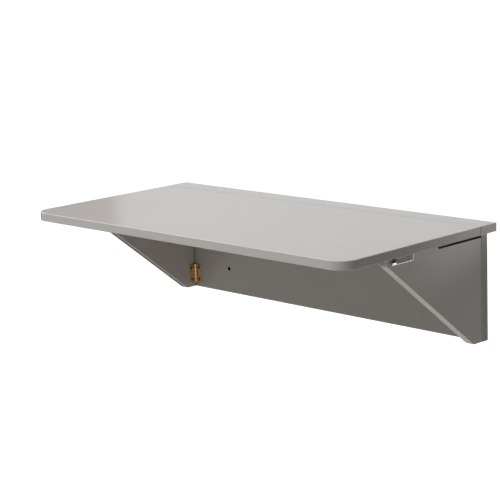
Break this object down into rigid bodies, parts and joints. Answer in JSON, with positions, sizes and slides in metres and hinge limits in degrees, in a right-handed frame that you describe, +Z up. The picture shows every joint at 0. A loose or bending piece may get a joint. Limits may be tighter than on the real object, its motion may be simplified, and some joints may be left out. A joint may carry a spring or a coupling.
{
  "type": "wall-mounted folding desk",
  "caption": "Grey wall-mounted folding desk: a drop leaf hinged on a fixed rear rail and held up by triangular brackets that swing out from a back board.",
  "frame": {"origin": "centre of the back board's rear face, on the wall plane", "axes": "+X along the wall to the right of someone who faces it, +Y into the wall, +Z up"},
  "size_m": [0.8, 0.4, 0.216],
  "materials": {
    "grey_paint": "satin grey paint on board",
    "beech": "bare beech dowel",
    "brass": "stamped brass plate",
    "pin_brass": "drawn brass pin",
    "hinge_screw": "brass-plated countersunk screw",
    "catch_screw": "bright zinc countersunk screw",
    "bright_steel": "polished nickel-plated steel",
    "magnet": "black ferrite"
  },
  "bodies": {
    "wall_frame": {"back_board": "grey_paint", "rear_rail": "grey_paint", "rail_dowels": "beech", "leaf_hinge_rail_screws": "hinge_screw", "leaf_hinge_left_rail_plate": "brass", "leaf_hinge_left_pin": "pin_brass", "leaf_hinge_centre_rail_plate": "brass", "leaf_hinge_centre_pin": "pin_brass", "leaf_hinge_right_rail_plate": "brass", "leaf_hinge_right_pin": "pin_brass", "left_hinge_lower_board_plate": "brass", "left_hinge_lower_pin": "pin_brass", "left_hinge_upper_board_plate": "brass", "left_hinge_upper_pin": "pin_brass", "right_hinge_lower_board_plate": "brass", "right_hinge_lower_pin": "pin_brass", "right_hinge_upper_board_plate": "brass", "right_hinge_upper_pin": "pin_brass", "left_hinge_board_screws": "hinge_screw", "right_hinge_board_screws": "hinge_screw"},
    "leaf": {"table_leaf": "grey_paint", "leaf_hinge_leaf_screws": "hinge_screw", "leaf_hinge_left_leaf_plate": "brass", "leaf_hinge_centre_leaf_plate": "brass", "leaf_hinge_right_leaf_plate": "brass", "left_catch_arm": "bright_steel", "left_catch_magnet": "magnet", "left_catch_pole_plates": "bright_steel", "left_catch_arm_screw": "catch_screw", "right_catch_arm": "bright_steel", "right_catch_magnet": "magnet", "right_catch_pole_plates": "bright_steel", "right_catch_arm_screw": "catch_screw"},
    "left_bracket": {"left_bracket": "grey_paint", "left_hinge_bracket_screws": "hinge_screw", "left_catch_strike": "bright_steel", "left_catch_strike_screw": "catch_screw", "left_hinge_lower_bracket_plate": "brass", "left_hinge_upper_bracket_plate": "brass"},
    "right_bracket": {"right_bracket": "grey_paint", "right_hinge_bracket_screws": "hinge_screw", "right_catch_strike": "bright_steel", "right_catch_strike_screw": "catch_screw", "right_hinge_lower_bracket_plate": "brass", "right_hinge_upper_bracket_plate": "brass"}
  },
  "joints": [
    {"name": "leaf_lift", "type": "hinge", "parent": "wall_frame", "child": "leaf", "pos_m": [0, -0.0456, 0.0967], "axis": [-1, 0, 0], "range_deg": [0, 3]},
    {"name": "left_bracket_swing", "type": "hinge", "parent": "wall_frame", "child": "left_bracket", "pos_m": [-0.3607, -0.0193, 0], "axis": [0, 0, 1], "range_deg": [0, 90]},
    {"name": "right_bracket_swing", "type": "hinge", "parent": "wall_frame", "child": "right_bracket", "pos_m": [0.3607, -0.0193, 0], "axis": [0, 0, -1], "range_deg": [0, 90]}
  ]
}
